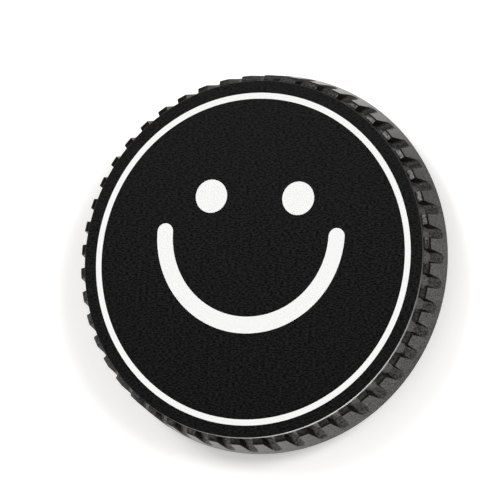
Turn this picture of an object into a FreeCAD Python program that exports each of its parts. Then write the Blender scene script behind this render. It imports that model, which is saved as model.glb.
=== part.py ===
import FreeCAD, Part
import math
import os

import Sketcher

# A camera body cap: one moulded cap with a ribbed rim and a three-lug bayonet, and the
# printed label on its face. The seat that meets the camera lies in the plane Z = 0, the
# cap's axis is Z, and the face looks up with the top of its print towards +Y.

SIZES = (
    # The moulding's outside, from the seat up to the front face.
    ("cap_height", 6.65, "seat to front face"),
    ("seat_radius", 32.25, "outside of the skirt at the seat"),
    ("side_flare", 1.05, "how much wider the side is at the seat than at the shoulder"),
    ("steep_bevel_width", 0.23, "bevel above the shoulder, across"),
    ("steep_bevel_drop", 0.22, "the same bevel, along the axis"),
    ("shallow_bevel_width", 0.62, "bevel round the flat front, across"),
    ("shallow_bevel_drop", 0.28, "the same bevel, along the axis"),
    ("seat_chamfer", 0.2, "chamfer on the seat's outer and inner edges"),
    # The grip: grooves cut into the rim from the front, which leave the ribs.
    ("groove_count", 48, "grooves round the rim"),
    ("groove_phase", 2.6, "turn of one groove from +X, degrees"),
    ("groove_depth", 1.215, "side in to a groove's floor, which leans as the side does"),
    ("groove_floor_end", 4.05, "height at which the floor ends"),
    ("groove_end_slope", 55.0, "slope of the end wall that follows, degrees"),
    ("groove_end_width", 1.57, "width of that end wall"),
    ("groove_flank", 12.0, "how far a groove's side walls lean apart, degrees each"),
    ("groove_corner", 0.65, "corner radius of its end wall"),
    ("groove_overrun", 0.5, "how far a groove's cut runs past the rim"),
    # The hidden side: front plate, skirt and bayonet ring.
    ("plate_thickness", 1.6, "front plate"),
    ("skirt_wall", 2.25, "skirt behind a groove's floor, where that floor would meet the seat"),
    ("corner_chamfer", 0.5, "chamfers in the plate's inner corners, less in a narrow channel"),
    # The bayonet: a ring that enters the camera's throat and the lugs that hold it there.
    ("throat_radius", 27.0, "camera's throat"),
    ("throat_clearance", 0.1, "gap between that throat and a lug"),
    ("lug_count", 3, "lugs round the ring"),
    ("lug_height", 1.65, "lug above the ring"),
    ("lug_root", 0.4, "how deep a lug is rooted in the ring"),
    ("lug_span", 52.0, "length of a lug, degrees"),
    ("lug_gap", 2.3, "seat down to a lug's holding face"),
    ("lug_thickness", 1.6, "lug along the axis"),
    ("lug_lead_in", 0.4, "chamfer on a lug's outer edge"),
    ("ring_wall", 1.75, "wall of the ring"),
    ("ring_tip", 0.9, "ring beyond its lugs"),
    ("ring_end_chamfer", 0.3, "chamfers at the ring's free end"),
    # The printed label.
    ("label_inset", 0.23, "edge of the flat front in to the label's edge"),
    ("label_thickness", 0.5, "label"),
)

# What follows from those sizes: radii from the axis and heights from the seat.
SHOULDER_RADIUS = "(Sizes.seat_radius - Sizes.side_flare)"
BEVEL_RADIUS = f"({SHOULDER_RADIUS} - Sizes.steep_bevel_width)"
FLAT_RADIUS = f"({BEVEL_RADIUS} - Sizes.shallow_bevel_width)"
LABEL_RADIUS = f"({FLAT_RADIUS} - Sizes.label_inset)"
BEVEL_HEIGHT = "(Sizes.cap_height - Sizes.shallow_bevel_drop)"
SHOULDER_HEIGHT = f"({BEVEL_HEIGHT} - Sizes.steep_bevel_drop)"
SIDE_LEAN = f"(Sizes.side_flare / {SHOULDER_HEIGHT})"
GROOVE_BASE = "(Sizes.seat_radius - Sizes.groove_depth)"
GROOVE_FOOT = f"({GROOVE_BASE} - Sizes.groove_floor_end * {SIDE_LEAN})"
END_SLOPE = "Sizes.groove_end_slope * 1 deg"
SKIRT_INNER = f"({GROOVE_BASE} - Sizes.skirt_wall)"
PLATE_BACK = "(Sizes.cap_height - Sizes.plate_thickness)"
LUG_RADIUS = "(Sizes.throat_radius - Sizes.throat_clearance)"
RING_OUTER = f"({LUG_RADIUS} - Sizes.lug_height)"
RING_INNER = f"({RING_OUTER} - Sizes.ring_wall)"
CORNER_CHAMFER = f"min(Sizes.corner_chamfer; ({SKIRT_INNER} - {RING_OUTER}) / 4)"
LUG_FRONT = "-Sizes.lug_gap"
LUG_BACK = f"({LUG_FRONT} - Sizes.lug_thickness)"
RING_END = f"({LUG_BACK} - Sizes.ring_tip)"

TOUCH = 0.01


def make_sheet(doc):
    """Put the driving sizes in a sheet, one row each: alias, number, meaning."""
    sheet = doc.addObject("Spreadsheet::Sheet", "Sizes")
    for row, (alias, number, meaning) in enumerate(SIZES, start=1):
        sheet.set(f"A{row}", alias)
        sheet.set(f"B{row}", str(number))
        sheet.setAlias(f"B{row}", alias)
        sheet.set(f"C{row}", meaning)
    doc.recompute()
    return sheet


def origin_feature(body, role):
    """The plane or axis of a body's own origin that has this role."""
    return next(f for f in body.Origin.OriginFeatures if f.Role == role)


def new_sketch(body, name, plane, offset=None):
    """A sketch on one of the body's own planes, moved along its normal by an expression."""
    sketch = body.newObject("Sketcher::SketchObject", name)
    sketch.AttachmentSupport = [(origin_feature(body, plane), "")]
    sketch.MapMode = "FlatFace"
    if offset:
        sketch.setExpression("AttachmentOffset.Base.z", offset)
    return sketch


def value_of(item, expression):
    """The number that an expression has now."""
    return float(item.evalExpression(expression))


def bind(sketch, name, expression, kind, *where):
    """Add one driving constraint and tie it to the sheet."""
    value = value_of(sketch, expression)
    index = sketch.addConstraint(Sketcher.Constraint(kind, *where, value))
    sketch.renameConstraint(index, name)
    sketch.setExpression(f"Constraints.{name}", expression)


def draw_outline(sketch, corners):
    """Draw a closed outline of straight lines through corners given as two expressions.

    Neighbours with the same expression share a level or upright line. A corner at 0 lies
    on that axis, and every other one gets its distance from the sketch's origin.
    """
    points = [FreeCAD.Vector(*(value_of(sketch, e) for e in c), 0) for c in corners]
    count = len(corners)
    for i in range(count):
        sketch.addGeometry(Part.LineSegment(points[i], points[(i + 1) % count]), False)
    for i in range(count):
        sketch.addConstraint(Sketcher.Constraint("Coincident", i, 2, (i + 1) % count, 1))
    for i, corner in enumerate(corners):
        for axis, (kind, straight, line) in enumerate(
            (("DistanceX", "Vertical", -2), ("DistanceY", "Horizontal", -1))
        ):
            if corner[axis] == "0":
                sketch.addConstraint(Sketcher.Constraint("PointOnObject", i, 1, line))
            elif i and corner[axis] == corners[i - 1][axis]:
                sketch.addConstraint(Sketcher.Constraint(straight, i - 1))
            else:
                bind(sketch, f"{kind}_{i}", corner[axis], kind, -1, 1, i, 1)


def circle_edges(feature, radius, height):
    """Names of a feature's round edges about the axis with this radius and height."""
    radius = value_of(feature, radius)
    height = value_of(feature, height)
    names = []
    for i, edge in enumerate(feature.Shape.Edges, start=1):
        curve = edge.Curve
        if not isinstance(curve, Part.Circle):
            continue
        on_axis = math.hypot(curve.Center.x, curve.Center.y) < TOUCH
        if on_axis and abs(curve.Radius - radius) < TOUCH and abs(curve.Center.z - height) < TOUCH:
            names.append(f"Edge{i}")
    return names


def dress(body, kind, name, edges, size):
    """Round or chamfer some edges of the body's last feature, with a size from the sheet."""
    base = body.Tip
    feature = body.newObject(f"PartDesign::{kind}", name)
    feature.Base = (base, edges)
    feature.setExpression("Radius" if kind == "Fillet" else "Size", size)
    body.Tip = feature
    body.Document.recompute()
    return feature


def polar_pattern(body, name, original, count):
    """Repeat one feature evenly about the cap's axis."""
    pattern = body.newObject("PartDesign::PolarPattern", name)
    pattern.Originals = [original]
    pattern.Axis = (origin_feature(body, "Z_Axis"), [""])
    pattern.Angle = 360
    pattern.setExpression("Occurrences", count)
    body.Tip = pattern
    body.Document.recompute()
    return pattern


def turn_moulding(body):
    """Turn the cap's section about its axis and break its edges."""
    section = new_sketch(body, "CapSection", "XZ_Plane")
    draw_outline(section, (
        ("0", "Sizes.cap_height"),
        (FLAT_RADIUS, "Sizes.cap_height"),
        (BEVEL_RADIUS, BEVEL_HEIGHT),
        (SHOULDER_RADIUS, SHOULDER_HEIGHT),
        ("Sizes.seat_radius", "0"),
        (SKIRT_INNER, "0"),
        (SKIRT_INNER, PLATE_BACK),
        (RING_OUTER, PLATE_BACK),
        (RING_OUTER, RING_END),
        (RING_INNER, RING_END),
        (RING_INNER, PLATE_BACK),
        ("0", PLATE_BACK),
    ))
    turned = body.newObject("PartDesign::Revolution", "CapTurned")
    turned.Profile = section
    turned.ReferenceAxis = (section, ["V_Axis"])
    turned.Angle = 360
    body.Document.recompute()

    for name, radii, height, size in (
        ("SeatChamfer", ("Sizes.seat_radius", SKIRT_INNER), "0", "Sizes.seat_chamfer"),
        ("InnerCorners", (SKIRT_INNER, RING_OUTER, RING_INNER), PLATE_BACK, CORNER_CHAMFER),
        ("RingEndChamfer", (RING_OUTER, RING_INNER), RING_END, "Sizes.ring_end_chamfer"),
    ):
        edges = [edge for radius in radii for edge in circle_edges(body.Tip, radius, height)]
        dress(body, "Chamfer", name, edges, size)


def add_lugs(body):
    """Add the bayonet lugs round the ring."""
    root = f"{RING_OUTER} - Sizes.lug_root"
    section = new_sketch(body, "LugSection", "XZ_Plane")
    draw_outline(section, (
        (root, LUG_FRONT),
        (LUG_RADIUS, LUG_FRONT),
        (LUG_RADIUS, LUG_BACK),
        (root, LUG_BACK),
    ))
    lug = body.newObject("PartDesign::Revolution", "Lug")
    lug.Profile = section
    lug.ReferenceAxis = (section, ["V_Axis"])
    lug.Midplane = True
    lug.setExpression("Angle", "Sizes.lug_span")
    body.Document.recompute()
    polar_pattern(body, "Lugs", lug, "Sizes.lug_count")
    dress(body, "Chamfer", "LugLeadIn", circle_edges(body.Tip, LUG_RADIUS, LUG_BACK), "Sizes.lug_lead_in")


def tilt(item, body, angle, x, z):
    """Attach a plane or sketch to the body's XY plane, moved to x and z and turned about Y."""
    item.AttachmentSupport = [(origin_feature(body, "XY_Plane"), "")]
    item.MapMode = "FlatFace"
    item.AttachmentOffset = FreeCAD.Placement(
        FreeCAD.Vector(0, 0, 0), FreeCAD.Rotation(FreeCAD.Vector(0, 1, 0), value_of(item, angle))
    )
    item.setExpression("AttachmentOffset.Base.x", x)
    item.setExpression("AttachmentOffset.Base.z", z)
    item.setExpression("AttachmentOffset.Rotation.Angle", angle)


def groove_corners(feature):
    """Names of the edges where a groove's end wall meets its side walls."""
    foot_radius = math.hypot(
        value_of(feature, GROOVE_FOOT), value_of(feature, "Sizes.groove_end_width") / 2
    )
    foot_height = value_of(feature, "Sizes.groove_floor_end")
    names = []
    for i, edge in enumerate(feature.Shape.Edges, start=1):
        if not isinstance(edge.Curve, Part.Line):
            continue
        low, high = sorted((v.Point for v in edge.Vertexes), key=lambda point: point.z)
        off_radius = abs(math.hypot(high.x, high.y) - foot_radius)
        off_height = abs(high.z - foot_height)
        if max(off_radius, off_height) < TOUCH < high.z - low.z:
            names.append(f"Edge{i}")
    return names


def cut_grooves(body):
    """Cut the grip grooves: each runs up its end wall to a leaning floor and opens at the front."""
    mouth = "(Sizes.seat_radius + Sizes.groove_overrun)"
    floor = body.newObject("PartDesign::Plane", "GrooveFloor")
    tilt(floor, body, f"90 deg - atan({SIDE_LEAN})", GROOVE_BASE, "0")
    outline = body.newObject("Sketcher::SketchObject", "GrooveOutline")
    tilt(outline, body, f"90 deg + {END_SLOPE}", mouth,
         f"Sizes.groove_floor_end - ({mouth} - {GROOVE_FOOT}) * tan({END_SLOPE})")
    body.Document.recompute()
    top = (f"({mouth} - {GROOVE_FOOT}) * sin({END_SLOPE})"
           f" + (Sizes.cap_height - Sizes.groove_floor_end) * cos({END_SLOPE})")
    spread = f"({top}) * tan(Sizes.groove_flank * 1 deg)"
    draw_outline(outline, (
        ("0", "-Sizes.groove_end_width / 2"),
        ("0", "Sizes.groove_end_width / 2"),
        (f"-({top})", f"Sizes.groove_end_width / 2 + {spread}"),
        (f"-({top})", f"-Sizes.groove_end_width / 2 - {spread}"),
    ))
    before = body.Tip.Shape.Volume
    groove = body.newObject("PartDesign::Pocket", "Groove")
    groove.Profile = outline
    groove.Type = "UpToFace"
    groove.UpToFace = (floor, [""])
    body.Document.recompute()
    polar_pattern(body, "Grooves", groove, "Sizes.groove_count")
    if not body.Tip.Shape.Volume < before:
        raise RuntimeError("the grooves cut nothing")
    dress(body, "Fillet", "GrooveCorners", groove_corners(body.Tip), "Sizes.groove_corner")


def make_cap(doc, sheet):
    """The moulded cap."""
    body = doc.addObject("PartDesign::Body", "cap_body")
    body.Label = "cap_body"
    body.Placement = FreeCAD.Placement(
        FreeCAD.Vector(0, 0, 0), FreeCAD.Rotation(FreeCAD.Vector(0, 0, 1), sheet.groove_phase)
    )
    body.setExpression("Placement.Rotation.Angle", "Sizes.groove_phase * 1 deg")
    turn_moulding(body)
    add_lugs(body)
    cut_grooves(body)
    return body


def make_label(doc):
    """The printed label on the front face."""
    body = doc.addObject("PartDesign::Body", "face_label")
    body.Label = "face_label"
    outline = new_sketch(body, "LabelOutline", "XY_Plane", "Sizes.cap_height")
    radius = value_of(outline, LABEL_RADIUS)
    outline.addGeometry(Part.Circle(FreeCAD.Vector(0, 0, 0), FreeCAD.Vector(0, 0, 1), radius), False)
    outline.addConstraint(Sketcher.Constraint("Coincident", 0, 3, -1, 1))
    bind(outline, "radius", LABEL_RADIUS, "Radius", 0)
    sheet_pad = body.newObject("PartDesign::Pad", "LabelSheet")
    sheet_pad.Profile = outline
    sheet_pad.setExpression("Length", "Sizes.label_thickness")
    doc.recompute()
    return body


def check(doc, bodies):
    """Stop before anything is written if an object failed or a solid is unsound."""
    for item in doc.Objects:
        if {"Invalid", "Error"} & set(item.State):
            raise RuntimeError(f"{item.Name} failed: {item.State}")
    for body in bodies:
        shape = body.Shape
        if shape.isNull() or not shape.isValid() or len(shape.Solids) != 1:
            raise RuntimeError(f"{body.Label} is not one sound solid")


def main():
    doc = FreeCAD.newDocument("BodyCap")
    sheet = make_sheet(doc)
    bodies = [make_cap(doc, sheet), make_label(doc)]
    doc.recompute()
    check(doc, bodies)
    os.makedirs("parts", exist_ok=True)
    for body in bodies:
        body.Shape.exportStep(os.path.join("parts", f"{body.Label}.step"))
        print(f"{body.Label}: volume {body.Shape.Volume:.1f} mm3, box {body.Shape.BoundBox}")


main()
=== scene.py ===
import logging
import math
from dataclasses import dataclass, field
from enum import Enum, IntEnum
from typing import Any, Iterable, Optional

import bmesh
import bpy
from bmesh.types import BMEdge, BMesh, BMFace, BMVert
from mathutils import Matrix, Vector


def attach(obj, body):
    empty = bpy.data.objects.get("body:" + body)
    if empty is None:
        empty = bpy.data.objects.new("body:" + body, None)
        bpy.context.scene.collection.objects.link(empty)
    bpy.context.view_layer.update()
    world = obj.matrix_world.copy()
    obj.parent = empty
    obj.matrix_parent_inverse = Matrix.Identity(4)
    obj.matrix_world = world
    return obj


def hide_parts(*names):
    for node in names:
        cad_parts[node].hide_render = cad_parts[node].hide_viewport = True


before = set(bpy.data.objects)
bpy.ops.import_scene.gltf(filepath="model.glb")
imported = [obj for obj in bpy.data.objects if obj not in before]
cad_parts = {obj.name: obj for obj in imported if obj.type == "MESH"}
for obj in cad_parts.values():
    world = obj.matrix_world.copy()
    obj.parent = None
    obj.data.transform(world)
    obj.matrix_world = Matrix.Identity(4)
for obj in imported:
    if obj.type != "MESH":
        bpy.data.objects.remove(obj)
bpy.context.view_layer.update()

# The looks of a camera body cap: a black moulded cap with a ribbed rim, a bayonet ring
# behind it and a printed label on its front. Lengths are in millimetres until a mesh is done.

LOG = logging.getLogger("body_cap")
BODY = "root"

# One millimetre, in the metres of a finished mesh.
MM = 0.001
# Points nearer than MERGE are one point, points within NEAR of a plane or a radius lie on it,
# and a line that turns by less than STRAIGHT goes straight on.
MERGE = 0.0005
NEAR = 0.004
STRAIGHT = math.radians(0.1)

# Sizes that more than one piece takes: the front plate's height over the seat, the height of
# the bayonet ring's end, which the cap rests on, and the label's radius.
FRONT = 6.65
RING_END = -4.8
LABEL_RADIUS = 30.12


class Slot(Enum):
    """The record's material slots."""

    MOULDED = "moulded_black_plastic"
    LABEL = "printed_label"


class LabelFace(IntEnum):
    """The label's materials, by the number that its faces carry."""

    INK = 0
    SHEET = 1
    EDGE = 2


def linear(code: str) -> tuple[float, float, float, float]:
    """Turn an sRGB hex colour into linear values.

    Args:
        code: Six hex digits.

    Returns:
        Linear red, green and blue, and an alpha of 1.
    """
    shares = [int(code[i:i + 2], 16) / 255 for i in (0, 2, 4)]
    red, green, blue = (s / 12.92 if s <= 0.04045 else ((s + 0.055) / 1.055) ** 2.4 for s in shares)
    return red, green, blue, 1.0


def add_node(
    tree: bpy.types.NodeTree,
    kind: str,
    inputs: Optional[dict[Any, Any]] = None,
    **settings: Any,
) -> bpy.types.Node:
    """Add one shader node.

    Args:
        tree: The node tree it goes into.
        kind: The node's type.
        inputs: Values and links by input name or number.
        settings: The node's own settings.

    Returns:
        The node.
    """
    node = tree.nodes.new(kind)
    for name, value in settings.items():
        setattr(node, name, value)
    for key, value in (inputs or {}).items():
        if isinstance(value, bpy.types.NodeSocket):
            tree.links.new(value, node.inputs[key])
        else:
            node.inputs[key].default_value = value
    return node


def new_material(name: str) -> tuple[bpy.types.Material, bpy.types.NodeTree]:
    """Make an empty material.

    Args:
        name: The material's name.

    Returns:
        The material and its node tree, which holds nothing yet.
    """
    material = bpy.data.materials.new(name)
    material.use_nodes = True
    material.node_tree.nodes.clear()
    return material, material.node_tree


def per_metre(size_mm: float) -> float:
    """The scale of a pattern on Object coordinates whose features are this many millimetres wide."""
    return 1 / (size_mm * MM)


@dataclass(frozen=True)
class Grain:
    """How a surface's fine grain shows: as uneven roughness and as small bumps."""

    roughness: tuple[float, float]
    bump: float
    height_mm: float
    contrast: tuple[float, float] = (0.0, 1.0)

    def end_material(
        self, tree: bpy.types.NodeTree, level: bpy.types.NodeSocket, sockets: dict[str, Any]
    ) -> None:
        """End a material with the shader of a grained surface.

        Args:
            tree: The material's node tree.
            level: The grain's level, over whose contrast the roughness changes.
            sockets: Values and links of the shader's other sockets.
        """
        rough = add_node(tree, "ShaderNodeMapRange", {
            "Value": level, "From Min": self.contrast[0], "From Max": self.contrast[1],
            "To Min": self.roughness[0], "To Max": self.roughness[1]})
        bump = add_node(tree, "ShaderNodeBump", {
            "Height": level, "Strength": self.bump, "Distance": self.height_mm * MM})
        shader = add_node(tree, "ShaderNodeBsdfPrincipled", {
            "Roughness": rough.outputs["Result"], "Normal": bump.outputs["Normal"], **sockets})
        add_node(tree, "ShaderNodeOutputMaterial", {"Surface": shader.outputs["BSDF"]})


@dataclass(frozen=True)
class MouldedPlastic:
    """Black ABS from a spark-eroded mould: deep black, with a fine even grain that spreads the light."""

    name: str = "moulded_black_abs"
    dark: str = "110f0e"
    light: str = "1a1715"
    grain: Grain = Grain(roughness=(0.13, 0.27), bump=0.4, height_mm=0.03, contrast=(0.3, 0.7))
    grain_mm: float = 0.34
    grain_octaves: float = 2.0
    grain_fineness: float = 0.6
    cloud_mm: float = 3.0
    cloud_octaves: float = 3.0
    gloss: tuple[float, float] = (0.1, 0.9)
    gloss_contrast: tuple[float, float] = (0.35, 0.65)
    gloss_tint: str = "fffdfb"
    ior: float = 1.5
    # Painted shade: the grooves' side walls get less shine, so that they look as dark as walls in shade.
    painted_shade_walls: tuple[float, float] = (0.45, 0.8)
    painted_shade_gloss: float = 0.2

    def build(self) -> bpy.types.Material:
        """Make the material.

        Returns:
            The material, with the grain drawn about twice as coarse as the real one so that it shows.
        """
        material, tree = new_material(self.name)
        point = add_node(tree, "ShaderNodeTexCoord")
        place = point.outputs["Object"]
        grain = add_node(tree, "ShaderNodeTexNoise", {
            "Vector": place, "Scale": per_metre(self.grain_mm), "Detail": self.grain_octaves,
            "Roughness": self.grain_fineness}).outputs["Fac"]
        cloud = add_node(tree, "ShaderNodeTexNoise", {
            "Vector": place, "Scale": per_metre(self.cloud_mm), "Detail": self.cloud_octaves})
        colour = add_node(tree, "ShaderNodeMix", {
            "Factor": cloud.outputs["Fac"], "A": linear(self.dark), "B": linear(self.light)},
            data_type="RGBA")
        gloss = add_node(tree, "ShaderNodeMapRange", {
            "Value": grain, "From Min": self.gloss_contrast[0], "From Max": self.gloss_contrast[1],
            "To Min": self.gloss[0], "To Max": self.gloss[1]})
        # How squarely a face looks round the axis, as the grooves' side walls do.
        about = add_node(tree, "ShaderNodeVectorMath", {
            0: (0.0, 0.0, 1.0), 1: place}, operation="CROSS_PRODUCT")
        about = add_node(tree, "ShaderNodeVectorMath", {0: about.outputs[0]}, operation="NORMALIZE")
        facing = add_node(tree, "ShaderNodeVectorMath", {
            0: about.outputs[0], 1: point.outputs["Normal"]}, operation="DOT_PRODUCT")
        facing = add_node(tree, "ShaderNodeMath", {0: facing.outputs["Value"]}, operation="ABSOLUTE")
        # Painted shade: faces that look round the axis, the grooves' side walls, lose most of their shine.
        wall = add_node(tree, "ShaderNodeMapRange", {
            "Value": facing.outputs[0], "From Min": self.painted_shade_walls[0], "From Max": self.painted_shade_walls[1],
            "To Min": 1.0, "To Max": self.painted_shade_gloss})
        gloss = add_node(tree, "ShaderNodeMath", {
            0: gloss.outputs["Result"], 1: wall.outputs["Result"]}, operation="MULTIPLY")
        self.grain.end_material(tree, grain, {
            "Base Color": colour.outputs["Result"], "Specular IOR Level": gloss.outputs[0],
            "Specular Tint": linear(self.gloss_tint), "IOR": self.ior})
        return material


@dataclass(frozen=True)
class PrintInk:
    """Flat black ink on a grained sheet: almost no shine, with fine uneven streaks across the label."""

    name: str = "matt_black_print_ink"
    dark: str = "030303"
    light: str = "222222"
    grain: Grain = Grain(roughness=(0.65, 0.85), bump=0.4, height_mm=0.03, contrast=(0.42, 0.58))
    grain_mm: tuple[float, float, float] = (0.56, 0.21, 0.21)
    grain_octaves: float = 2.0
    grain_fineness: float = 0.7
    specular: float = 0.06
    # Painted sheen: the ink is lightened towards the label's top, by this much over the length below.
    painted_sheen: float = 0.35
    painted_sheen_mm: float = 60.0

    def build(self) -> bpy.types.Material:
        """Make the material.

        Returns:
            The material, with its grain drawn coarse enough to show, and a painted sheen that makes it
            lighter towards the label's top.
        """
        material, tree = new_material(self.name)
        place = add_node(tree, "ShaderNodeTexCoord").outputs["Object"]
        drawn = add_node(tree, "ShaderNodeVectorMath", {
            0: place, 1: tuple(per_metre(size) for size in self.grain_mm)}, operation="MULTIPLY")
        grain = add_node(tree, "ShaderNodeTexNoise", {
            "Vector": drawn.outputs[0], "Scale": 1.0, "Detail": self.grain_octaves,
            "Roughness": self.grain_fineness}).outputs["Fac"]
        # Painted sheen: lighter towards the label's top.
        height = add_node(tree, "ShaderNodeSeparateXYZ", {"Vector": place})
        painted_sheen = add_node(tree, "ShaderNodeMath", {
            0: height.outputs["Y"], 1: self.painted_sheen * per_metre(self.painted_sheen_mm)}, operation="MULTIPLY")
        level = add_node(tree, "ShaderNodeMapRange", {
            "Value": grain, "From Min": self.grain.contrast[0], "From Max": self.grain.contrast[1]})
        spread = add_node(tree, "ShaderNodeMath", {
            0: level.outputs["Result"], 1: painted_sheen.outputs[0]}, operation="ADD", use_clamp=True)
        colour = add_node(tree, "ShaderNodeMix", {
            "Factor": spread.outputs[0], "A": linear(self.dark), "B": linear(self.light)},
            data_type="RGBA")
        self.grain.end_material(tree, grain, {
            "Base Color": colour.outputs["Result"], "Specular IOR Level": self.specular})
        return material


@dataclass(frozen=True)
class WhiteSheet:
    """White PVC sheet where the ink leaves it bare: bright and flat, with a faint grain."""

    name: str = "white_pvc_sheet"
    dark: str = "f3f3f2"
    light: str = "fbfbfa"
    grain: Grain = Grain(roughness=(0.6, 0.8), bump=0.2, height_mm=0.02)
    grain_mm: float = 0.45
    grain_octaves: float = 3.0
    specular: float = 0.2

    def build(self) -> bpy.types.Material:
        """Make the material.

        Returns:
            The material, with its grain drawn coarse enough to show.
        """
        material, tree = new_material(self.name)
        place = add_node(tree, "ShaderNodeTexCoord").outputs["Object"]
        grain = add_node(tree, "ShaderNodeTexNoise", {
            "Vector": place, "Scale": per_metre(self.grain_mm), "Detail": self.grain_octaves}).outputs["Fac"]
        colour = add_node(tree, "ShaderNodeMix", {
            "Factor": grain, "A": linear(self.dark), "B": linear(self.light)}, data_type="RGBA")
        self.grain.end_material(tree, grain, {
            "Base Color": colour.outputs["Result"], "Specular IOR Level": self.specular})
        return material


@dataclass(frozen=True)
class CutEdge:
    """The sheet's cut edge: a painted highlight, white round its lower right and fading to dark elsewhere.
    """

    name: str = "cut_sheet_edge"
    # Painted highlight: white on one side of the edge, fading to the dark colour on the rest.
    white: str = "f4f4f2"
    ink: str = "32302e"
    highlight_towards: tuple[float, float] = (0.5, -0.866)
    highlight_fade: float = 4.0
    radius_mm: float = LABEL_RADIUS
    grain: Grain = Grain(roughness=(0.6, 0.8), bump=0.3, height_mm=0.02)
    grain_mm: float = 0.3
    grain_octaves: float = 3.0
    specular: float = 0.2

    def build(self) -> bpy.types.Material:
        """Make the material.

        Returns:
            The material, which turns from dark to a painted white highlight round the label's centre, and
            has its grain drawn coarse enough to show.
        """
        material, tree = new_material(self.name)
        place = add_node(tree, "ShaderNodeTexCoord").outputs["Object"]
        # Painted highlight: white towards the lower right, fading to the dark colour elsewhere.
        reach = Vector((*self.highlight_towards, 0.0)) * per_metre(self.radius_mm)
        towards = add_node(tree, "ShaderNodeVectorMath", {0: place, 1: reach}, operation="DOT_PRODUCT")
        bare = add_node(tree, "ShaderNodeMath", {0: towards.outputs["Value"], 1: 0.0}, operation="MAXIMUM")
        bare = add_node(tree, "ShaderNodeMath", {0: bare.outputs[0], 1: self.highlight_fade}, operation="POWER")
        colour = add_node(tree, "ShaderNodeMix", {
            "Factor": bare.outputs[0], "A": linear(self.ink), "B": linear(self.white)}, data_type="RGBA")
        grain = add_node(tree, "ShaderNodeTexNoise", {
            "Vector": place, "Scale": per_metre(self.grain_mm), "Detail": self.grain_octaves}).outputs["Fac"]
        self.grain.end_material(tree, grain, {
            "Base Color": colour.outputs["Result"], "Specular IOR Level": self.specular})
        return material


def put_piece(
    bm: BMesh, name: str, materials: Iterable[bpy.types.Material], node: str
) -> bpy.types.Object:
    """Turn a finished mesh in millimetres into a piece that stands for a solid.

    Args:
        bm: The mesh, which is used up.
        name: The piece's name.
        materials: Its materials, in the order of its faces' numbers.
        node: The solid that it stands for.

    Returns:
        The piece.
    """
    open_edges = sum(not e.is_manifold for e in bm.edges)
    bmesh.ops.scale(bm, vec=(MM, MM, MM), verts=bm.verts)
    mesh = bpy.data.meshes.new(name)
    bm.to_mesh(mesh)
    bm.free()
    for material in materials:
        mesh.materials.append(material)
    piece = bpy.data.objects.new(name, mesh)
    bpy.context.scene.collection.objects.link(piece)
    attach(piece, BODY)
    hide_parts(node)
    LOG.info("%s: %d faces, %d open edges", name, len(mesh.polygons), open_edges)
    return piece


def round_edges(bm: BMesh, edges: Iterable[BMEdge], radius: float, segments: int) -> None:
    """Round some edges.

    Args:
        bm: The mesh.
        edges: The edges.
        radius: How far the rounding reaches from each edge.
        segments: Faces across the rounding.
    """
    bmesh.ops.bevel(
        bm, geom=list(edges), offset=radius, offset_type="OFFSET", segments=segments, profile=0.5,
        affect="EDGES", clamp_overlap=True, material=-1, loop_slide=True)


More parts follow.
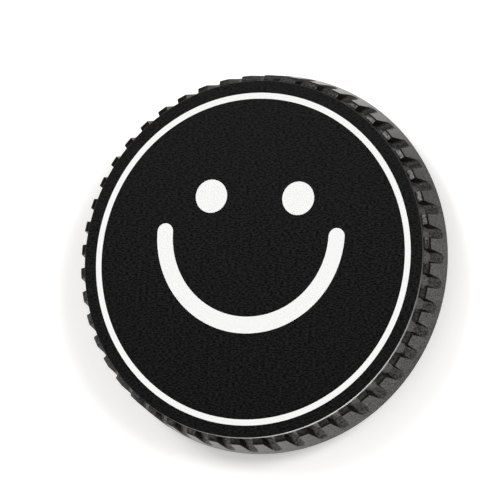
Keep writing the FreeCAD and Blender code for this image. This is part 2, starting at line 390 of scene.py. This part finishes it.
@dataclass
class RibbedRim:
    """The grip: a flared rim with grooves cut into it from the front."""

    count: int = 48
    phase: float = math.radians(2.6)
    front: float = FRONT
    seat_radius: float = 32.25
    inner_radius: float = 29.2
    # The corners of the two bevels, as radius and height.
    shoulder: tuple[tuple[float, float], ...] = ((31.2, 6.15), (30.97, 6.37), (30.35, FRONT))
    # A groove's depth, the height that its floor ends at, and the end wall that slopes outwards
    # from there, with its round corners. The side walls lean apart by the flank's angle.
    depth: float = 1.215
    floor_end: float = 4.05
    end_slope: float = math.radians(55.0)
    end_width: float = 1.57
    end_corner: float = 0.525
    end_corner_steps: int = 6
    flank: float = math.radians(12.0)
    # How far the flat block stands past the seat until its outside is cut.
    overrun: float = 0.5
    # Edges that turn by more than this are rounded.
    sharp_from: float = math.radians(15)
    edge_round: float = 0.05
    edge_steps: int = 2
    seat_round: float = 0.2
    seat_steps: int = 4
    # The steps that one pitch takes round the axis.
    steps: int = 12

    @property
    def pitch(self) -> float:
        """Width of one rib and groove, measured round the seat."""
        return math.tau * self.seat_radius / self.count

    @property
    def outline(self) -> tuple[tuple[float, float], ...]:
        """The outside's corners as radius and height, from the seat to the front."""
        return (self.seat_radius, 0.0), *self.shoulder

    def floor_at(self, height: float) -> float:
        """Radius of a groove's floor, which leans as the side does."""
        (low_radius, low), (high_radius, high) = self.outline[:2]
        return self.seat_radius - self.depth - (low_radius - high_radius) * height / (high - low)

    def wall_point(self, side: float, radius: float, height: float) -> Vector:
        """A point on a groove's side wall, laid out flat.

        Args:
            side: -1 or 1, for the groove's two walls.
            radius: The point's radius.
            height: Its height.

        Returns:
            The point. The walls run along the end wall's slope and lean apart from it.
        """
        above = ((radius - self.floor_at(self.floor_end)) * math.sin(self.end_slope)
                 + (height - self.floor_end) * math.cos(self.end_slope))
        half_width = self.end_width / 2 + above * math.tan(self.flank)
        return Vector((side * self.seat_radius * math.atan2(half_width, radius), radius, height))

    def flat_block(self) -> BMesh:
        """Model one pitch of the rim laid out flat: x runs round it, y is the radius and z the height.

        Returns:
            A closed block with a groove in its middle.
        """
        bm = bmesh.new()
        half = self.pitch / 2
        foot, outer = self.floor_at(self.floor_end), self.seat_radius + self.overrun
        mouth_end = self.floor_end - (outer - foot) * math.tan(self.end_slope)
        feet = [bm.verts.new(self.wall_point(side, foot, self.floor_end)) for side in (-1, 1)]
        mouths = [bm.verts.new(self.wall_point(side, outer, mouth_end)) for side in (1, -1)]
        backs = [bm.verts.new((x, y, self.floor_end)) for x, y in (
            (-half, outer), (-half, self.inner_radius), (half, self.inner_radius), (half, outer))]
        end_wall = bmesh.ops.contextual_create(bm, geom=feet + mouths)["faces"][0]
        tooth = bm.faces.new([feet[0], mouths[1], *backs, mouths[0], feet[1]])
        # The block goes down to the seat from both faces, and up to the front round the groove.
        lower = bmesh.ops.extrude_face_region(bm, geom=[end_wall, tooth])["geom"]
        for vert in (v for v in lower if isinstance(v, BMVert)):
            vert.co.z = 0
        upper = bmesh.ops.extrude_face_region(bm, geom=[tooth])["geom"]
        for vert in (v for v in upper if isinstance(v, BMVert)):
            vert.co.z = self.front
            if abs(vert.co.x) < half - NEAR:
                radius = outer if vert.co.y > outer - NEAR else self.floor_at(self.front)
                vert.co = self.wall_point(math.copysign(1, vert.co.x), radius, self.front)
        bmesh.ops.delete(bm, geom=[tooth], context="FACES_ONLY")
        bmesh.ops.recalc_face_normals(bm, faces=bm.faces)
        corners = [e for a, b in zip(feet, reversed(mouths)) for e in a.link_edges if b in e.verts]
        round_edges(bm, corners, self.end_corner, self.end_corner_steps)
        return bm

    def cut_outside(self, bm: BMesh) -> None:
        """Cut the flared side and the two bevels of the shoulder off a flat block.

        Args:
            bm: The block.
        """
        for (low_r, low_z), (high_r, high_z) in zip(self.outline, self.shoulder):
            normal = Vector((0, high_z - low_z, low_r - high_r))
            bmesh.ops.bisect_plane(
                bm, geom=[*bm.verts, *bm.edges, *bm.faces], dist=MERGE, plane_co=(0, low_r, low_z),
                plane_no=normal, clear_outer=True)
            bmesh.ops.holes_fill(bm, edges=[e for e in bm.edges if e.is_boundary], sides=0)
        bmesh.ops.recalc_face_normals(bm, faces=bm.faces)

    def is_cut(self, face: BMFace) -> bool:
        """Tell whether a face of the flat block is one that the neighbouring pieces replace.

        Args:
            face: The face.

        Returns:
            Whether it lies on the block's sides, its back or the seat.
        """
        centre = face.calc_center_median()
        return (abs(abs(centre.x) - self.pitch / 2) < NEAR
                or abs(centre.y - self.inner_radius) < NEAR or abs(centre.z) < NEAR)

    def round_block(self, bm: BMesh) -> None:
        """Round the sharp edges of a flat block, and its edge round the seat more.

        Args:
            bm: The block.
        """
        cuts = {face for face in bm.faces if self.is_cut(face)}
        sharp = [e for e in bm.edges if not cuts.intersection(e.link_faces)
                 and e.calc_face_angle(0) > self.sharp_from]
        seat = [e for e in bm.edges if all(abs(v.co.z) < NEAR for v in e.verts)
                and max(v.co.y for v in e.verts) > self.seat_radius - NEAR
                and abs(e.verts[0].co.y - e.verts[1].co.y) < NEAR]
        round_edges(bm, sharp, self.edge_round, self.edge_steps)
        round_edges(bm, [e for e in seat if e.is_valid], self.seat_round, self.seat_steps)

    def sector(self) -> BMesh:
        """Finish one pitch and bend it round the axis.

        Returns:
            An open strip of the rim's outside, from the front to the seat.
        """
        bm = self.flat_block()
        self.cut_outside(bm)
        self.round_block(bm)
        bmesh.ops.delete(bm, geom=[f for f in bm.faces if self.is_cut(f)], context="FACES")
        # A point in the middle of a straight edge would leave a sliver where two pitches meet.
        bmesh.ops.dissolve_verts(bm, verts=[
            v for v in bm.verts if len(v.link_edges) == 2 and v.calc_edge_angle(0) < STRAIGHT])
        half, width = self.pitch / 2, self.pitch / self.steps
        for step in range(1, self.steps):
            bmesh.ops.bisect_plane(
                bm, geom=[*bm.verts, *bm.edges, *bm.faces], dist=MERGE,
                plane_co=(width * step - half, 0, 0), plane_no=(1, 0, 0))
        # The points on the seat keep to the steps, which the back that joins them there has too.
        seam = [v for v in bm.verts if v.is_boundary and abs(v.co.z) < NEAR]
        for vert in seam:
            vert.co.x = round((vert.co.x + half) / width) * width - half
        bmesh.ops.remove_doubles(bm, verts=seam, dist=MERGE)
        for vert in bm.verts:
            turn, radius = vert.co.x / self.seat_radius + self.phase, vert.co.y
            vert.co.xy = radius * math.cos(turn), radius * math.sin(turn)
        return bm

    def build(self) -> BMesh:
        """Repeat the pitch round the axis.

        Returns:
            The whole rim's outside.
        """
        bm = self.sector()
        bmesh.ops.spin(
            bm, geom=[*bm.verts, *bm.edges, *bm.faces], cent=(0, 0, 0), axis=(0, 0, 1), dvec=(0, 0, 0),
            angle=math.tau * (self.count - 1) / self.count, steps=self.count - 1, use_duplicate=True)
        bmesh.ops.remove_doubles(bm, verts=bm.verts, dist=MERGE)
        return bm


@dataclass
class BayonetCap:
    """The moulded cap: the rim, the front plate and the bayonet ring with its lugs."""

    rim: RibbedRim = field(default_factory=RibbedRim)
    finish: MouldedPlastic = MouldedPlastic()
    plate_back: float = 5.05
    skirt_inner: float = 28.785
    ring_outer: float = 25.25
    ring_inner: float = 23.5
    ring_end: float = RING_END
    lug_radius: float = 26.9
    lug_front: float = -2.3
    lug_back: float = -3.9
    lug_count: int = 3
    lug_span: float = math.radians(52)
    lug_round: float = 0.35
    lug_steps: int = 3
    corner_round: float = 0.5
    edge_round: float = 0.3
    edge_steps: int = 4
    # Edges that turn by more than this are corners of a lug.
    sharp_from: float = math.radians(60)
    # A weight over 50 gives large faces more say in the shading than small ones.
    shading_weight: int = 100

    def turned(self, bm: BMesh, profile: Iterable[tuple[float, float]]) -> None:
        """Turn an open section about the axis, in step with the rim.

        Args:
            bm: The mesh that it is added to.
            profile: The section's corners, as radius and height.
        """
        start = self.rim.phase - math.pi / self.rim.count
        verts = [bm.verts.new((r * math.cos(start), r * math.sin(start), z)) for r, z in profile]
        edges = [bm.edges.new(pair) for pair in zip(verts, verts[1:])]
        bmesh.ops.spin(
            bm, geom=verts + edges, cent=(0, 0, 0), axis=(0, 0, 1), dvec=(0, 0, 0), angle=math.tau,
            steps=self.rim.count * self.rim.steps, use_merge=True, use_duplicate=False)

    def hidden_side(self) -> BMesh:
        """Model the back of the cap.

        Returns:
            An open mesh, from the seat's rounded edge over the ring to the middle of the plate.
        """
        bm = bmesh.new()
        self.turned(bm, (
            (self.rim.seat_radius - self.rim.seat_round, 0.0),
            (self.skirt_inner, 0.0),
            (self.skirt_inner, self.plate_back),
            (self.ring_outer, self.plate_back),
            (self.ring_outer, self.lug_front),
            (self.ring_outer, self.lug_back),
            (self.ring_outer, self.ring_end),
            (self.ring_inner, self.ring_end),
            (self.ring_inner, self.plate_back),
            (0.0, self.plate_back),
        ))
        bmesh.ops.remove_doubles(bm, verts=bm.verts, dist=MERGE)
        bmesh.ops.recalc_face_normals(bm, faces=bm.faces)
        self.raise_lugs(bm)
        self.round_turned_edges(bm)
        return bm

    def carries_lug(self, face: BMFace) -> bool:
        """Tell whether a lug stands on a face of the back.

        Args:
            face: The face.

        Returns:
            Whether it lies on the ring's outer wall, within the height and the span of a lug.
        """
        spacing = math.tau / self.lug_count
        centre = face.calc_center_median()
        on_wall = abs(centre.xy.length - self.ring_outer) < NEAR
        at_height = abs(centre.z - (self.lug_front + self.lug_back) / 2) < NEAR
        turn = math.atan2(centre.y, centre.x) - self.rim.phase
        off_middle = abs((turn + spacing / 2) % spacing - spacing / 2)
        return on_wall and at_height and off_middle < self.lug_span / 2

    def raise_lugs(self, bm: BMesh) -> None:
        """Pull the lugs out of the ring's outer wall and round their edges.

        Args:
            bm: The mesh of the back.
        """
        walls = [face for face in bm.faces if self.carries_lug(face)]
        raised = bmesh.ops.extrude_face_region(bm, geom=walls)["geom"]
        tops = {f for f in raised if isinstance(f, BMFace)}
        reach = self.lug_radius / self.ring_outer
        bmesh.ops.scale(bm, vec=(reach, reach, 1), verts=[v for v in raised if isinstance(v, BMVert)])
        bmesh.ops.delete(bm, geom=walls, context="FACES")
        half_rise = (self.lug_radius - self.ring_outer) / 2
        rims = [e for e in bm.edges if len(tops.intersection(e.link_faces)) == 1]
        ends = [e for e in bm.edges
                if e.calc_face_angle(0) > self.sharp_from and not tops.intersection(e.link_faces)
                and abs(e.verts[0].co.z - e.verts[1].co.z) < NEAR
                and abs(e.verts[0].co.xy.length - e.verts[1].co.xy.length) > half_rise]
        round_edges(bm, rims + ends, self.lug_round, self.lug_steps)

    def round_turned_edges(self, bm: BMesh) -> None:
        """Round the edges of the skirt, the plate and the ring.

        Args:
            bm: The mesh of the back.
        """
        for radii, height, radius in (
            ((self.skirt_inner, self.ring_outer, self.ring_inner), self.plate_back, self.corner_round),
            ((self.skirt_inner,), 0.0, self.edge_round),
            ((self.ring_outer, self.ring_inner), self.ring_end, self.edge_round),
        ):
            edges = [e for e in bm.edges if all(
                abs(v.co.z - height) < NEAR and min(abs(v.co.xy.length - r) for r in radii) < NEAR
                for v in e.verts)]
            round_edges(bm, edges, radius, self.edge_steps)

    def build(self) -> bpy.types.Object:
        """Join the rim, the front plate and the back into one closed moulding.

        Returns:
            The piece.
        """
        bm = self.rim.build()
        self.turned(bm, ((0.0, self.rim.front), (self.rim.inner_radius, self.rim.front)))
        back = self.hidden_side()
        part = bpy.data.meshes.new("cap_back")
        back.to_mesh(part)
        back.free()
        bm.from_mesh(part)
        bpy.data.meshes.remove(part)
        bmesh.ops.remove_doubles(bm, verts=bm.verts, dist=MERGE)
        bmesh.ops.recalc_face_normals(bm, faces=bm.faces)
        for face in bm.faces:
            face.smooth = True
        piece = put_piece(bm, "cap_moulding", [self.finish.build()], "cap_body")
        shade = piece.modifiers.new("even_shading", "WEIGHTED_NORMAL")
        shade.weight = self.shading_weight
        shade.keep_sharp = True
        return piece


@dataclass
class FaceLabel:
    """The printed label: a white sheet covered in black ink that leaves a smiling face bare."""

    ink: PrintInk = PrintInk()
    sheet: WhiteSheet = WhiteSheet()
    edge: CutEdge = CutEdge()
    radius: float = LABEL_RADIUS
    bottom: float = FRONT
    top: float = 7.15
    edge_round: float = 0.1
    edge_steps: int = 3
    # A face whose normal is this upright belongs to the top or the underside.
    flat: float = 0.999
    # The ring's inner and outer radius.
    ring: tuple[float, float] = (27.0, 28.0)
    ring_steps: int = 288
    eye_radius: float = 2.82
    eyes: tuple[tuple[float, float], ...] = ((-7.853, 10.263), (7.668, 10.263))
    eye_steps: int = 96
    # The mouth is half a circle, and mouth_half is half the width of its stroke.
    mouth_centre: tuple[float, float] = (-0.4, 4.05)
    mouth_radius: float = 15.31
    mouth_half: float = 1.407
    mouth_steps: int = 128
    mouth_end_steps: int = 32

    def swept(
        self, bm: BMesh, line: Iterable[tuple[float, float]], centre: tuple[float, float],
        angle: float, steps: int,
    ) -> list[BMFace]:
        """Sweep a line on the label's top round a centre.

        Args:
            bm: The mesh that it is added to.
            line: The line's points.
            centre: The centre of the turn.
            angle: The turn.
            steps: Faces along it.

        Returns:
            The new faces.
        """
        before = set(bm.faces)
        verts = [bm.verts.new((x, y, self.top)) for x, y in line]
        edges = [bm.edges.new(pair) for pair in zip(verts, verts[1:])]
        bmesh.ops.spin(
            bm, geom=verts + edges, cent=(*centre, self.top), axis=(0, 0, 1), dvec=(0, 0, 0), angle=angle,
            steps=steps, use_merge=abs(angle) >= math.tau, use_duplicate=False)
        return [face for face in bm.faces if face not in before]

    def draw_face(self, bm: BMesh) -> list[BMFace]:
        """Lay out what the ink leaves bare inside the ring: two round eyes and a round-ended mouth.

        Args:
            bm: The mesh that it is added to.

        Returns:
            The bare faces.
        """
        bare: list[BMFace] = []
        for x, y in self.eyes:
            made = bmesh.ops.create_circle(
                bm, cap_ends=True, segments=self.eye_steps, radius=self.eye_radius,
                matrix=Matrix.Translation((x, y, self.top)))
            bare += made["verts"][0].link_faces
        x, y = self.mouth_centre
        left, right = x - self.mouth_radius, x + self.mouth_radius
        half = self.mouth_half
        stroke = (left - half, y), (left, y), (left + half, y)
        bare += self.swept(bm, stroke, (x, y), math.pi, self.mouth_steps)
        for end in (left, right):
            bare += self.swept(bm, ((end, y), (end + half, y)), (end, y), math.pi, self.mouth_end_steps)
        bmesh.ops.remove_doubles(bm, verts=bm.verts, dist=MERGE)
        return [face for face in bare if face.is_valid]

    def draw_top(self, bm: BMesh) -> None:
        """Lay out the label's top, with the print as faces of its own.

        Args:
            bm: The mesh that it is added to.
        """
        bare = self.draw_face(bm)
        inner, outer = self.ring
        line = (inner, 0), (outer, 0), (self.radius, 0)
        rings = self.swept(bm, line, (0, 0), math.tau, self.ring_steps)
        bmesh.ops.remove_doubles(bm, verts=bm.verts, dist=MERGE)
        bare += [f for f in rings if inner < f.calc_center_median().xy.length < outer]
        holes = [e for e in bm.edges if e.is_boundary
                 and max(v.co.xy.length for v in e.verts) < self.radius - NEAR]
        bmesh.ops.triangle_fill(bm, use_beauty=True, edges=holes, normal=(0, 0, 1))
        for face in bare:
            face.material_index = LabelFace.SHEET

    def build(self) -> bpy.types.Object:
        """Make the label: the printed top, its cut edge with a rounded lip, and the bare underside.

        Returns:
            The piece.
        """
        bm = bmesh.new()
        self.draw_top(bm)
        rim = [e for e in bm.edges if e.is_boundary]
        wall = bmesh.ops.extrude_edge_only(bm, edges=rim)["geom"]
        bmesh.ops.translate(
            bm, vec=(0, 0, self.bottom - self.top), verts=[v for v in wall if isinstance(v, BMVert)])
        foot = [e for e in wall if isinstance(e, BMEdge) and e.is_boundary]
        for face in bmesh.ops.contextual_create(bm, geom=foot)["faces"]:
            face.material_index = LabelFace.SHEET
        bmesh.ops.recalc_face_normals(bm, faces=bm.faces)
        lip = [e for e in bm.edges if all(
            abs(v.co.z - self.top) < NEAR and v.co.xy.length > self.radius - NEAR for v in e.verts)]
        round_edges(bm, lip, self.edge_round, self.edge_steps)
        for face in bm.faces:
            face.smooth = abs(face.normal.z) < self.flat
            if face.smooth:
                face.material_index = LabelFace.EDGE
        finishes = {LabelFace.INK: self.ink, LabelFace.SHEET: self.sheet, LabelFace.EDGE: self.edge}
        materials = [finishes[number].build() for number in LabelFace]
        return put_piece(bm, "printed_label", materials, "face_label")


@dataclass(frozen=True)
class Lamp:
    """A soft lamp far away, which either glints on what shines or fills the scene with light."""

    name: str
    towards: tuple[float, float, float]
    strength: float
    angle: float
    glints: bool

    def build(self) -> None:
        """Hang the lamp."""
        data = bpy.data.lights.new(self.name, "SUN")
        data.energy = self.strength
        data.angle = self.angle
        lamp = bpy.data.objects.new(self.name, data)
        lamp.rotation_euler = Vector(self.towards).to_track_quat("Z", "Y").to_euler()
        lamp.visible_glossy = self.glints
        lamp.visible_diffuse = not self.glints
        bpy.context.scene.collection.objects.link(lamp)


@dataclass
class Studio:
    """A white floor with a low white horizon, dark walls, a pale ceiling and soft lamps."""

    floor_height: float = RING_END
    floor_radius: float = 1500.0
    floor_steps: int = 96
    floor_white: str = "f5f3f1"
    # The floor's own glow, which lifts it to white.
    floor_lift: float = 0.38
    # In what shines, the floor gets darker towards the back and has a soft shade beside the cap.
    floor_back: tuple[float, float] = (36.0, 52.0)
    floor_shine: tuple[float, float] = (0.86, 0.1)
    floor_shade_at: tuple[float, float] = (37.0, 25.0)
    floor_shade_radius: float = 27.0
    floor_shade: float = 0.42
    lamps: tuple[Lamp, ...] = (
        Lamp("key_glint", (0.32, 0.57, 0.757), 1.35, math.radians(38), True),
        Lamp("side_glint", (-0.75, -0.3, 0.55), 0.6, math.radians(50), True),
        Lamp("back_glint", (-0.25, 0.8, 0.54), 0.35, math.radians(40), True),
        Lamp("right_fill", (0.66, 0.24, 0.71), 1.6, math.radians(20), False),
        Lamp("left_fill", (-0.4, 0.42, 0.81), 1.0, math.radians(22), False),
        Lamp("ceiling_fill", (0.0, 0.0, 1.0), 0.12, math.radians(120), False),
    )
    # How bright the surroundings are, and the sines of the angles that they change at.
    horizon: float = 1.0
    wall: float = 0.03
    ceiling: float = 0.6
    horizon_ends: float = math.sin(math.radians(3))
    wall_ends: float = math.sin(math.radians(32))
    ceiling_from: float = math.sin(math.radians(55))
    # The camera's place at the photograph's angle, and the picture's right and up.
    camera_at: tuple[float, float, float] = (190.798, -60.889, 503.991)
    camera_right: tuple[float, float, float] = (0.9339, 0.07442, -0.34969)
    camera_up: tuple[float, float, float] = (-0.02838, 0.99044, 0.13498)
    camera_reach: tuple[float, float] = (10.0, 20000.0)
    lens: float = 231.26
    sensor: float = 36.0

    def floor_level(self, tree: bpy.types.NodeTree, in_glossy: bpy.types.NodeSocket) -> bpy.types.NodeSocket:
        """Work out how bright the floor is, which changes from place to place in what shines.

        Args:
            tree: The floor material's node tree.
            in_glossy: Whether a ray comes from what shines.

        Returns:
            The level, which is 1 for every other ray.
        """
        place = add_node(tree, "ShaderNodeTexCoord").outputs["Object"]
        across = add_node(tree, "ShaderNodeSeparateXYZ", {"Vector": place})
        back = add_node(tree, "ShaderNodeMapRange", {
            "Value": across.outputs["Y"], "From Min": self.floor_back[0] * MM,
            "From Max": self.floor_back[1] * MM, "To Min": self.floor_shine[0],
            "To Max": self.floor_shine[1]}, interpolation_type="SMOOTHSTEP")
        beside = add_node(tree, "ShaderNodeVectorMath", {
            0: place, 1: Vector((*self.floor_shade_at, self.floor_height)) * MM}, operation="DISTANCE")
        shade = add_node(tree, "ShaderNodeMapRange", {
            "Value": beside.outputs["Value"], "From Min": 0.0, "From Max": self.floor_shade_radius * MM,
            "To Min": self.floor_shade, "To Max": 1.0}, interpolation_type="SMOOTHSTEP")
        shine = add_node(tree, "ShaderNodeMath", {
            0: back.outputs["Result"], 1: shade.outputs["Result"]}, operation="MULTIPLY")
        level = add_node(tree, "ShaderNodeMix", {"Factor": in_glossy, "A": 1.0, "B": shine.outputs[0]})
        return level.outputs["Result"]

    def floor_paper(self) -> bpy.types.Material:
        """Make the floor's paper, which is lifted to white for the camera and keeps the cap's shadow.

        Returns:
            The material.
        """
        material, tree = new_material("white_paper_floor")
        rays = add_node(tree, "ShaderNodeLightPath")
        level = self.floor_level(tree, rays.outputs["Is Glossy Ray"])
        seen = add_node(tree, "ShaderNodeMath", {
            0: rays.outputs["Is Camera Ray"], 1: rays.outputs["Is Glossy Ray"]}, operation="MAXIMUM")
        seen = add_node(tree, "ShaderNodeMath", {
            0: seen.outputs[0], 1: rays.outputs["Is Transmission Ray"]}, operation="MAXIMUM")
        lift = add_node(tree, "ShaderNodeMath", {
            0: seen.outputs[0], 1: self.floor_lift}, operation="MULTIPLY")
        lift = add_node(tree, "ShaderNodeMath", {0: lift.outputs[0], 1: level}, operation="MULTIPLY")
        white = add_node(tree, "ShaderNodeVectorMath", {
            0: linear(self.floor_white)[:3], "Scale": level}, operation="SCALE")
        paper = add_node(tree, "ShaderNodeBsdfDiffuse", {"Color": white.outputs[0]})
        glow = add_node(tree, "ShaderNodeEmission", {
            "Color": linear(self.floor_white), "Strength": lift.outputs[0]})
        both = add_node(tree, "ShaderNodeAddShader", {0: paper.outputs[0], 1: glow.outputs[0]})
        add_node(tree, "ShaderNodeOutputMaterial", {"Surface": both.outputs[0]})
        return material

    def build_floor(self) -> None:
        """Lay the white floor that the cap rests on."""
        bm = bmesh.new()
        bmesh.ops.create_circle(
            bm, cap_ends=True, segments=self.floor_steps, radius=self.floor_radius,
            matrix=Matrix.Translation((0, 0, self.floor_height)))
        bmesh.ops.scale(bm, vec=(MM, MM, MM), verts=bm.verts)
        mesh = bpy.data.meshes.new("floor")
        bm.to_mesh(mesh)
        bm.free()
        mesh.materials.append(self.floor_paper())
        floor = bpy.data.objects.new("floor", mesh)
        bpy.context.scene.collection.objects.link(floor)

    def build_light(self) -> None:
        """Set the lamps and the surroundings."""
        for lamp in self.lamps:
            lamp.build()
        world = bpy.data.worlds.new("studio")
        world.use_nodes = True
        tree = world.node_tree
        tree.nodes.clear()
        way = add_node(tree, "ShaderNodeTexCoord").outputs["Generated"]
        height = add_node(tree, "ShaderNodeSeparateXYZ", {"Vector": way})
        wall = add_node(tree, "ShaderNodeMapRange", {
            "Value": height.outputs["Z"], "From Min": 0.0, "From Max": self.horizon_ends,
            "To Min": self.horizon - self.wall, "To Max": 0.0}, interpolation_type="SMOOTHSTEP")
        ceiling = add_node(tree, "ShaderNodeMapRange", {
            "Value": height.outputs["Z"], "From Min": self.wall_ends, "From Max": self.ceiling_from,
            "To Min": self.wall, "To Max": self.ceiling}, interpolation_type="SMOOTHSTEP")
        level = add_node(tree, "ShaderNodeMath", {
            0: wall.outputs["Result"], 1: ceiling.outputs["Result"]}, operation="ADD")
        sky = add_node(tree, "ShaderNodeBackground", {
            "Color": (1, 1, 1, 1), "Strength": level.outputs[0]})
        add_node(tree, "ShaderNodeOutputWorld", {"Surface": sky.outputs[0]})
        bpy.context.scene.world = world

    def build_camera(self) -> None:
        """Set the camera where the photograph was taken from."""
        right, up = Vector(self.camera_right), Vector(self.camera_up)
        turn = Matrix((right, up, right.cross(up))).transposed().to_4x4()
        data = bpy.data.cameras.new("camera")
        data.lens = self.lens
        data.sensor_width = self.sensor
        data.sensor_height = self.sensor
        data.clip_start = self.camera_reach[0] * MM
        data.clip_end = self.camera_reach[1] * MM
        camera = bpy.data.objects.new("camera", data)
        camera.matrix_world = Matrix.Translation(Vector(self.camera_at) * MM) @ turn
        bpy.context.scene.collection.objects.link(camera)
        bpy.context.scene.camera = camera

    def build(self) -> None:
        """Set the whole studio."""
        self.build_floor()
        self.build_light()
        self.build_camera()
        bpy.context.scene.view_settings.view_transform = "Standard"


def main() -> None:
    """Build the cap and its studio."""
    logging.basicConfig(level=logging.INFO, format="%(message)s")
    BayonetCap().build()
    FaceLabel().build()
    Studio().build()


if __name__ == "__main__":
    main()
